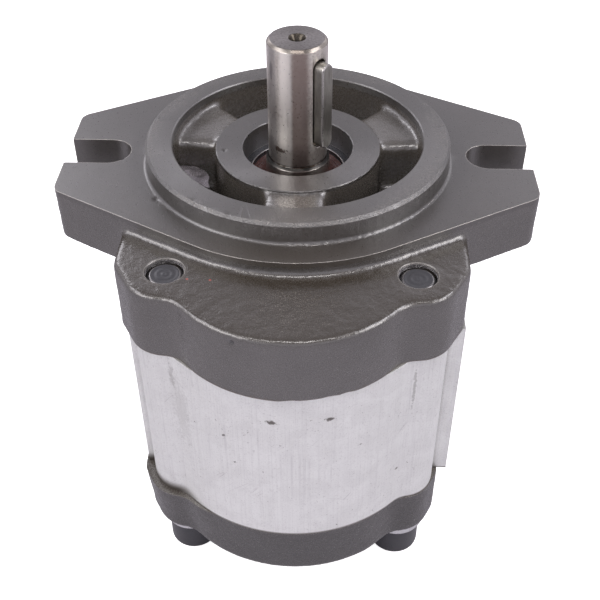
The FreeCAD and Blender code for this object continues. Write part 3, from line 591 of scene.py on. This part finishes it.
class Skin:
    """An evenly meshed copy of a CAD node, whose vertices are moved as arrays in millimetres."""

    crease_degrees = 28
    shading_degrees = 36

    def __init__(self, node, name, voxel_mm):
        source = nodes[node]
        self.node = node
        self.step = voxel_mm
        self.thing = bpy.data.objects.new(name, source.data.copy())
        bpy.context.scene.collection.objects.link(self.thing)
        remesh = self.thing.modifiers.new("remesh", "REMESH")
        remesh.mode = "VOXEL"
        remesh.voxel_size = voxel_mm * MM
        self.mesh = applied(self.thing)
        surface = BVHTree.FromObject(source, bpy.context.evaluated_depsgraph_get())
        rough = pulled(self.mesh.vertices, "co", len(self.mesh.vertices) * 3).reshape(-1, 3)
        self.at = np.array([surface.find_nearest(p)[0] for p in rough.tolist()], float) / MM
        self.snap(source)
        edges = pulled(self.mesh.edges, "vertices", len(self.mesh.edges) * 2, np.int32)
        self.edges = edges.reshape(-1, 2)
        self.counts = np.bincount(edges, minlength=len(self.at)).astype(float)[:, None]

    def snap(self, source):
        """Pull the vertices beside a sharp CAD edge onto that edge."""
        spacing_mm = 0.1
        shape = bmesh.new()
        shape.from_mesh(source.data)
        bmesh.ops.remove_doubles(shape, verts=shape.verts, dist=0.001 * MM)
        spots = []
        for edge in shape.edges:
            if len(edge.link_faces) == 2 and edge.calc_face_angle() > math.radians(self.crease_degrees):
                a, b = edge.verts[0].co / MM, edge.verts[1].co / MM
                steps = max(1, math.ceil((b - a).length / spacing_mm))
                spots += [a.lerp(b, k / steps) for k in range(steps + 1)]
        shape.free()
        tree = KDTree(len(spots))
        for k, spot in enumerate(spots):
            tree.insert(spot, k)
        tree.balance()
        for k, point in enumerate(self.at.tolist()):
            spot, _index, away = tree.find(point)
            if away < 0.55 * self.step:
                self.at[k] = spot

    def neighbours(self, values):
        """The mean of each vertex's neighbours."""
        total = np.zeros_like(values)
        for near, far in ((0, 1), (1, 0)):
            here, there = self.edges[:, near], self.edges[:, far]
            for k in range(values.shape[1]):
                total[:, k] += np.bincount(here, values[there, k], len(values))
        return total / self.counts

    def smooth(self, weight, rounds):
        for _ in range(rounds):
            self.at += 0.5 * weight[:, None] * (self.neighbours(self.at) - self.at)

    def write(self):
        self.mesh.vertices.foreach_set("co", (self.at * MM).astype(np.float32).ravel())
        self.mesh.update()

    def normals(self):
        self.write()
        return pulled(self.mesh.vertex_normals, "vector", len(self.at) * 3).reshape(-1, 3).astype(float)

    def push(self, amount):
        """Move each vertex along its normal by an amount in millimetres."""
        self.at += self.normals() * amount[:, None]

    def bend(self):
        """How far each vertex stands out from its neighbours, as a share of the step, evened out."""
        away = self.at - self.neighbours(self.at)
        lift = (away * self.normals()).sum(1, keepdims=True) / self.step
        for _ in range(2):
            lift = 0.5 * lift + 0.5 * self.neighbours(lift)
        return lift[:, 0]

    def store(self, **layers):
        """Keep values at the vertices for the materials to read."""
        for name, values in layers.items():
            layer = self.mesh.attributes.new(name, "FLOAT", "POINT")
            layer.data.foreach_set("value", values.astype(np.float32))

    def choose_finishes(self, mesh, casting):
        """One finish for each face: as cast by its mean, turned where every corner is, else machined."""
        for finish in ("iron_machined", casting, "iron_turned"):
            mesh.materials.append(finishes[finish])
        first = pulled(mesh.polygons, "loop_start", len(mesh.polygons), np.int32)
        corners = pulled(mesh.loops, "vertex_index", len(mesh.loops), np.int32)
        cast = pulled(mesh.attributes["cast"].data, "value", len(mesh.vertices))[corners]
        turned_share = pulled(mesh.attributes["turned"].data, "value", len(mesh.vertices))[corners]
        corner_counts = np.diff(np.append(first, len(corners)))
        is_cast = np.add.reduceat(cast, first) / corner_counts > 0.5
        is_turned = np.minimum.reduceat(turned_share, first) > 0.5
        chosen = np.where(is_cast, 1, np.where(is_turned, 2, 0))
        mesh.polygons.foreach_set("material_index", chosen.astype(np.int32))

    def finish(self, triangles, casting):
        low, high = (np.array(corner) / MM for corner in cad_box)
        self.at = np.clip(self.at, low, high)
        self.write()
        count = len(self.mesh.polygons)
        self.mesh.polygons.foreach_set("use_smooth", np.ones(count, bool))
        thin = self.thing.modifiers.new("thin", "DECIMATE")
        thin.ratio = min(1.0, triangles / (2.0 * count))
        mesh = applied(self.thing)
        mesh.set_sharp_from_angle(angle=math.radians(self.shading_degrees))
        level_shading(self.thing, keep_sharp=True)
        mesh = applied(self.thing)
        mesh.materials.clear()
        self.choose_finishes(mesh, casting)
        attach(self.thing, "pump_body")
        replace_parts(self.thing, self.node)


def front_casting():
    """The front cover: machined on top, as cast in the recess and below the flange."""
    skin = Skin("front_cover", "cast_front_cover", 0.45)
    x, y, z = skin.at.T
    r = np.hypot(x, y)
    from_bolt = np.hypot(np.abs(x) - bolt_x, y - bolt_y)
    from_slot = np.maximum(np.abs(y) - slot_half, slot_end_x - np.abs(x))

    def off_bolts(start, end):
        """0 by the mouths of the bolt holes, 1 away from them and down at the joint."""
        away = fade(from_bolt, bolt_mouth_r + start, bolt_mouth_r + end)
        return np.where(z > joint_z + 1.0, away, 1.0)

    recess = fade(r, hub_r - 0.5, hub_r - 0.1) * fade(r, recess_r + 0.5, recess_r + 0.1)
    recess *= fade(z, 4.6, 3.2) * np.where(r < hub_r + 1.0, fade(z, 2.1, 1.3), 1.0)
    outside = fade(r, recess_r + 1.5, recess_r + 2.5) * fade(z, -0.7, -2.2)
    outside *= fade(z, joint_z + 0.3, joint_z + 0.9) * fade(from_slot, 0.2, 1.0)
    outside *= off_bolts(0.4, 1.0)
    cast = np.clip(recess + outside, 0.0, 1.0)
    skin.smooth(recess, 45)
    skin.smooth(outside, 9)

    waves = 0.10 * lattice_noise(skin.at, 9.0, 1) + 0.045 * lattice_noise(skin.at, 2.2, 2)
    waves += 0.03 * lattice_noise(skin.at, 1.1, 3)
    bend = skin.bend() * off_bolts(0.0, 0.8)
    bend *= np.where((r < pilot_r + 2.0) & (cast < 0.1), 0.30, 1.0)
    tilt = skin.normals()[:, 2]
    chamfer = fade(tilt, 0.3, 0.45) * fade(tilt, 0.96, 0.9) * fade(z, 3.6, 4.2)
    chamfer *= fade(r, recess_r + 3.0, recess_r + 4.0) * fade(r, pilot_r + 0.4, pilot_r + 0.2)
    # painted shade inside the mouths of the bolt holes, kept with the nicks' pits
    mouth = 1.0 - off_bolts(0.1, 0.45)
    skin.push(waves * cast)

    seam = fade(x, -3.0, 3.0) * fade(x, 17.0, 11.0) * fade(y, -50.0, -55.0)
    seam *= fade(z, joint_z + 0.9, joint_z + 0.1)
    skin.at[:, 2] += 0.75 * seam * (1.0 + lattice_noise(skin.at, 3.0, 7))
    dents = np.zeros(len(x))
    for px, py, pz, reach, depth in front_nicks:
        close = np.exp(-((x - px) ** 2 + (y - py) ** 2 + (z - pz) ** 2) / reach ** 2)
        dents = np.maximum(dents, close * depth)
    skin.push(-dents)

    skin.store(cast=cast, dust=recess, chamfer=chamfer,
               pit=np.maximum(fade(dents, 0.15, 0.30), 0.8 * mouth),
               turned=fade(r, pilot_r + 0.9, pilot_r + 0.6),
               edge=np.clip(bend, 0.0, 1.0), hollow=np.clip(-bend, 0.0, 1.0))
    skin.finish(190000, "iron_casting")


def rear_casting():
    """The rear cover: as cast round its sides, machined at the joint and under the bolt heads."""
    skin = Skin("rear_cover", "cast_rear_cover", 0.5)
    low_z, high_z = (corner[2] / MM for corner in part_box("rear_cover"))
    z = skin.at[:, 2]
    cast = fade(z, low_z + 0.1, low_z + 0.5)
    ledge = fade(z, high_z - 0.6, high_z - 0.2)

    left_grows = 1.1 * fade(z, low_z + 2.0, high_z)
    right_grows = -0.6
    out = skin.at[:, :2] - np.array([0.0, pair_middle_y])
    lobe = fade(out[:, 1], -8.0, -22.0) * fade(np.abs(out[:, 0]), 20.0, 27.0)
    grow = lobe * np.where(out[:, 0] < 0.0, left_grows, right_grows)
    from_bolt = np.hypot(np.abs(out[:, 0]) - bolt_x, out[:, 1] + pair_middle_y - bolt_y)
    grow *= fade(from_bolt, 7.0, 9.0)
    skin.at[:, :2] += grow[:, None] * out / np.linalg.norm(out, axis=1)[:, None]
    skin.smooth(cast * (1.0 - ledge), 8)
    skin.smooth(np.full(len(z), 0.5), 1)

    waves = 0.10 * lattice_noise(skin.at, 9.0, 4) + 0.045 * lattice_noise(skin.at, 2.2, 5)
    bend = skin.bend()
    skin.push(waves * cast * (1.0 - ledge))
    skin.store(cast=cast, dust=ledge, turned=np.zeros(len(z)), pit=0.65 * (1.0 - ledge),
               edge=0.6 * np.clip(bend, 0.0, 1.0), hollow=np.clip(-bend, 0.0, 1.0))
    skin.finish(90000, "dull_casting")


front_casting()
rear_casting()


# --- small parts ------------------------------------------------------------------------------
def link(name, mesh, body):
    thing = bpy.data.objects.new(name, mesh)
    bpy.context.scene.collection.objects.link(thing)
    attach(thing, body)
    return thing


def mesh_of(name, shape, finish, crease_degrees=None):
    """A bmesh turned into a mesh in one finish, creased where its faces meet at more than an angle."""
    mesh = bpy.data.meshes.new(name)
    shape.to_mesh(mesh)
    shape.free()
    mesh.materials.append(finishes[finish])
    if crease_degrees:
        mesh.set_sharp_from_angle(angle=math.radians(crease_degrees))
    return mesh


def rounded(node, body, width_mm, edge_finish):
    """Stand in for a CAD node with a copy whose sharp edges are rounded over and worn."""
    mesh = nodes[node].data.copy()
    shape = bmesh.new()
    shape.from_mesh(mesh)
    bmesh.ops.remove_doubles(shape, verts=shape.verts, dist=0.001 * MM)
    bmesh.ops.dissolve_limit(shape, angle_limit=math.radians(0.2), verts=shape.verts, edges=shape.edges)
    for face in shape.faces:
        face.smooth = True
    shape.to_mesh(mesh)
    shape.free()
    mesh.materials.append(finishes[edge_finish])
    thing = link("rounded_" + node, mesh, body)
    soft = thing.modifiers.new("soft", "BEVEL")
    soft.width = width_mm * MM
    soft.segments = 2
    soft.limit_method = "ANGLE"
    soft.angle_limit = math.radians(35)
    soft.use_clamp_overlap = False
    soft.material = 1
    level_shading(thing)
    applied(thing)
    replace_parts(thing, node)


def turned(name, profile, body, slot, segments=160):
    """A closed outline of (radius, height) points in millimetres, turned about Z."""
    shape = bmesh.new()
    rings = []
    for k in range(segments):
        angle = 2.0 * math.pi * k / segments
        rings.append([shape.verts.new((r * MM * math.cos(angle), r * MM * math.sin(angle), z * MM))
                      for r, z in profile])
    for a, b in zip(rings, rings[1:] + rings[:1]):
        for i in range(len(profile)):
            j = (i + 1) % len(profile)
            shape.faces.new((a[i], b[i], b[j], a[j])).smooth = True
    bmesh.ops.recalc_face_normals(shape, faces=shape.faces)
    return link(name, mesh_of(name, shape, slot, crease_degrees=50), body)


def tube(shape, rings):
    """Faces between rings of vertices, from one ring to the next."""
    for a, b in zip(rings, rings[1:]):
        for i in range(len(a)):
            j = (i + 1) % len(a)
            shape.faces.new((a[i], a[j], b[j], b[i])).smooth = True


def seal_lip():
    """The rubber of the shaft seal, ribbed on the side that faces out, with a lip to the shaft land."""
    bottom, top = (corner[2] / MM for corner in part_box("shaft_seal_lip"))
    outer = 12.65
    inner = 8.77
    rim_drop = 0.3
    dip = 0.9
    rib = 0.07
    ribs = 7.0
    steps = 48
    profile = []
    for k in range(steps + 1):
        share = k / steps
        r = outer + (inner - outer) * share
        bowl = -rim_drop - dip * math.sin(math.pi * share) * (1.0 - 0.6 * share)
        wave = rib * math.sin(2.0 * math.pi * share * ribs)
        profile.append((r, top + bowl * (1.0 - share ** 6) + wave))
    profile += [(inner, top - 0.8), (9.9, top - 2.5), (inner, bottom + 1.4), (inner, bottom + 0.8),
                (9.6, bottom + 0.1), (11.9, bottom), (11.9, bottom + 0.8), (10.8, bottom + 1.3),
                (10.8, bottom + 2.8), (outer, bottom + 4.4)]
    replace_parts(turned("ribbed_seal_lip", profile, "pump_body", "seal_rubber"), "shaft_seal_lip")


def thread_mouths():
    """The first turns of thread that show above the tips of the two near bolts."""
    shape = bmesh.new()
    steps = 72
    turns = 3
    pitch = 0.42
    depth = 0.34
    root_r = bolt_mouth_r + 0.05
    low_z = -5.5
    for side in (-1, 1):
        rings = []
        for k in range(steps * turns + 1):
            angle = 2.0 * math.pi * k / steps
            z = low_z + pitch * k / steps
            taper = min(1.0, k / 20.0, (steps * turns - k) / 20.0)
            crest_r = bolt_mouth_r - depth * taper
            outline = ((root_r, z - 0.17), (crest_r, z - 0.03), (crest_r, z + 0.03), (root_r, z + 0.17))
            rings.append([shape.verts.new(((side * bolt_x + r * math.cos(angle)) * MM,
                                           (bolt_y + r * math.sin(angle)) * MM, h * MM))
                          for r, h in outline])
        tube(shape, rings)
        shape.faces.new(rings[0])
        shape.faces.new(list(reversed(rings[-1])))
    bmesh.ops.recalc_face_normals(shape, faces=shape.faces)
    mesh = mesh_of("thread_mouths", shape, "dull_edge", crease_degrees=50)
    link("thread_mouths", mesh, "pump_body")


def casting_flash():
    """A torn sheet of flash left standing in the recess, out from its wall."""
    across, along = 22, 26
    wall_r = recess_r + 0.1
    tip_r = 24.9
    level = -6.3
    thickness = 0.45
    rows = []
    for i in range(along + 1):
        share = i / along
        r = wall_r + (tip_r - wall_r) * share
        near = 191.0 - 4.0 * math.sin(math.pi * min(1.0, share * 1.25)) + 5.0 * share ** 3
        far = 178.0 - 6.0 * share + 13.0 * share ** 5
        for j in range(across + 1):
            angle = math.radians(far + (near - far) * j / across)
            droop = 0.9 * (1.0 - share) ** 2 - 0.8 * (j / across) ** 2
            rows.append((r * math.cos(angle), r * math.sin(angle), level + droop))
    points = np.array(rows)
    points[:, 2] += 0.35 * lattice_noise(points, 4.0, 11) + 0.12 * lattice_noise(points, 1.3, 12)
    ragged = np.stack([lattice_noise(points, 1.6, seed) for seed in (13, 14)], axis=1)
    points[:, :2] += 0.35 * ragged

    shape = bmesh.new()
    made = [shape.verts.new(p * MM) for p in points]
    width = across + 1
    for i in range(along):
        for k in range(i * width, i * width + across):
            shape.faces.new((made[k], made[k + 1], made[k + width + 1], made[k + width])).smooth = True
    mesh = mesh_of("casting_flash", shape, "flash_iron")
    thing = link("casting_flash", mesh, "pump_body")
    thick = thing.modifiers.new("thick", "SOLIDIFY")
    thick.thickness = thickness * MM
    thick.offset = 0.0
    round_over = thing.modifiers.new("round_over", "SUBSURF")
    round_over.levels = 1
    round_over.render_levels = 1
    applied(thing)


def burr_curl():
    """A small curl of burr, left where the flash tore off beside the hub."""
    turns = 1.35
    curl_r = 0.85
    wire_r = 0.24
    climb = 0.55
    steps, around = 60, 10
    middle = Vector((-24.2, 3.6, -4.6))
    upright = Vector((-0.45, -0.65, 0.6)).normalized()
    side = upright.cross(Vector((0, 0, 1))).normalized()
    rise = upright.cross(side)
    shape = bmesh.new()
    rings = []
    for k in range(steps + 1):
        share = k / steps
        angle = 2.0 * math.pi * turns * share
        out = side * math.cos(angle) + rise * math.sin(angle)
        centre = middle + out * curl_r * (1.0 - 0.35 * share) + upright * (climb * share)
        thick = wire_r * (1.0 + 0.35 * math.sin(9.0 * share)) * (1.0 - 0.6 * share ** 3)
        ring = []
        for n in range(around):
            a = 2.0 * math.pi * n / around
            off_centre = thick * (out * math.cos(a) + upright * math.sin(a))
            ring.append(shape.verts.new((centre + off_centre) * MM))
        rings.append(ring)
    tube(shape, rings)
    shape.faces.new(list(reversed(rings[0])))
    shape.faces.new(rings[-1])
    bmesh.ops.recalc_face_normals(shape, faces=shape.faces)
    link("burr_curl", mesh_of("burr_curl", shape, "worn_steel"), "pump_body")


rounded("shaft_key", "drive_shaft", 0.18, "worn_steel")
rounded("drive_gear_shaft", "drive_shaft", 0.20, "ground_steel")
rounded("seal_retaining_ring", "pump_body", 0.16, "worn_steel")
rounded("bolt_washers", "pump_body", 0.15, "washer_steel")
rounded("through_bolts", "pump_body", 0.30, "dull_edge")
seal_lip()
thread_mouths()
casting_flash()
burr_curl()


# --- stage ------------------------------------------------------------------------------------
white = (1.0, 1.0, 1.0)
lilac = (1.0, 0.97, 1.04)
warm = (1.0, 0.96, 0.95)
cool = (0.97, 0.95, 1.0)


def tinted(value, tint=white):
    return tuple(value * part for part in tint)


def floor():
    """A pale floor, white to the camera and a little darker to the pump."""
    low_z = cad_box[0][2]
    half = 3.0
    corners = [(-half, -half, low_z), (half, -half, low_z), (half, half, low_z), (-half, half, low_z)]
    mesh = bpy.data.meshes.new("floor")
    mesh.from_pydata(corners, [], [(0, 1, 2, 3)])
    thing = bpy.data.objects.new("floor", mesh)
    bpy.context.scene.collection.objects.link(thing)
    g = Graph("floor")
    seen = g.add("ShaderNodeLightPath").outputs["Is Camera Ray"]
    aside = g.ramp(g.magnitude(g.along("X")), 0.03, 0.16)
    unseen = g.mix(aside, tinted(0.53, lilac), tinted(0.44, lilac))
    g.set(Base_Color=g.mix(seen, unseen, tinted(0.9)), Roughness=0.8,
          Emission_Color=white, Emission_Strength=g.times(seen, 0.85))
    mesh.materials.append(g.material)


def softbox(name, azimuth, elevation, size, power, colour):
    """A rectangular light aimed at the pump, at degrees of azimuth from +X towards +Y."""
    distance = 0.9
    target = Vector((0, 0, -0.03))
    data = bpy.data.lights.new(name, "AREA")
    data.shape = "RECTANGLE"
    data.size, data.size_y = size
    data.energy = power
    data.color = colour
    thing = bpy.data.objects.new(name, data)
    a, e = math.radians(azimuth), math.radians(elevation)
    direction = Vector((math.cos(a) * math.cos(e), math.sin(a) * math.cos(e), math.sin(e)))
    thing.location = target + direction * distance
    thing.rotation_euler = direction.to_track_quat("Z", "Y").to_euler()
    bpy.context.scene.collection.objects.link(thing)


def world():
    """A white sweep up to a little over the horizon, with a darker room above it."""
    studio = bpy.data.worlds.new("studio")
    studio.use_nodes = True
    tree = studio.node_tree
    background = tree.nodes["Background"]
    place = tree.nodes.new("ShaderNodeTexCoord")
    parts = tree.nodes.new("ShaderNodeSeparateXYZ")
    tree.links.new(place.outputs["Generated"], parts.inputs[0])
    dim = tree.nodes.new("ShaderNodeMapRange")
    dim.interpolation_type = "SMOOTHSTEP"
    dim.inputs["From Min"].default_value = 0.52
    dim.inputs["From Max"].default_value = 0.72
    dim.inputs["To Min"].default_value = 0.85
    dim.inputs["To Max"].default_value = 0.40
    tree.links.new(parts.outputs["Z"], dim.inputs["Value"])
    tree.links.new(dim.outputs["Result"], background.inputs["Strength"])
    background.inputs["Color"].default_value = (0.94, 0.91, 1.0, 1)
    bpy.context.scene.world = studio


def camera():
    """Looking down at the drive end, from the front and a little to the right."""
    azimuth, pitch, roll = math.radians(2.105), math.radians(40.61), math.radians(-0.263)
    stand = (0.008695, -0.225203, 0.14024)
    level_forward = Vector((-math.sin(azimuth), math.cos(azimuth), 0))
    forward = level_forward * math.cos(pitch) - Vector((0, 0, math.sin(pitch)))
    right = Vector((math.cos(azimuth), math.sin(azimuth), 0))
    up = right.cross(forward)
    right_rolled = math.cos(roll) * right + math.sin(roll) * up
    up_rolled = math.cos(roll) * up - math.sin(roll) * right
    data = bpy.data.cameras.new("camera")
    data.sensor_width = 36.0
    data.lens = 57.175
    data.clip_start = 0.01
    thing = bpy.data.objects.new("camera", data)
    axes = Matrix((right_rolled, up_rolled, -forward)).transposed().to_4x4()
    thing.matrix_world = Matrix.Translation(stand) @ axes
    bpy.context.scene.collection.objects.link(thing)
    bpy.context.scene.camera = thing


floor()
world()
softbox("front_left", -146, 34, (0.55, 0.40), 2.5, warm)
softbox("left", 178, 46, (0.40, 0.35), 1.2, cool)
softbox("right", 2, 46, (0.40, 0.35), 1.9, cool)
softbox("back_left", 125, 30, (0.25, 0.35), 0.8, cool)
softbox("back_right", 58, 30, (0.25, 0.35), 0.35, cool)
softbox("front_right", -25, 34, (0.25, 0.45), 1.9, warm)
softbox("top", -90, 68, (0.5, 0.12), 1.6, warm)
camera()
bpy.context.scene.view_settings.view_transform = "Standard"
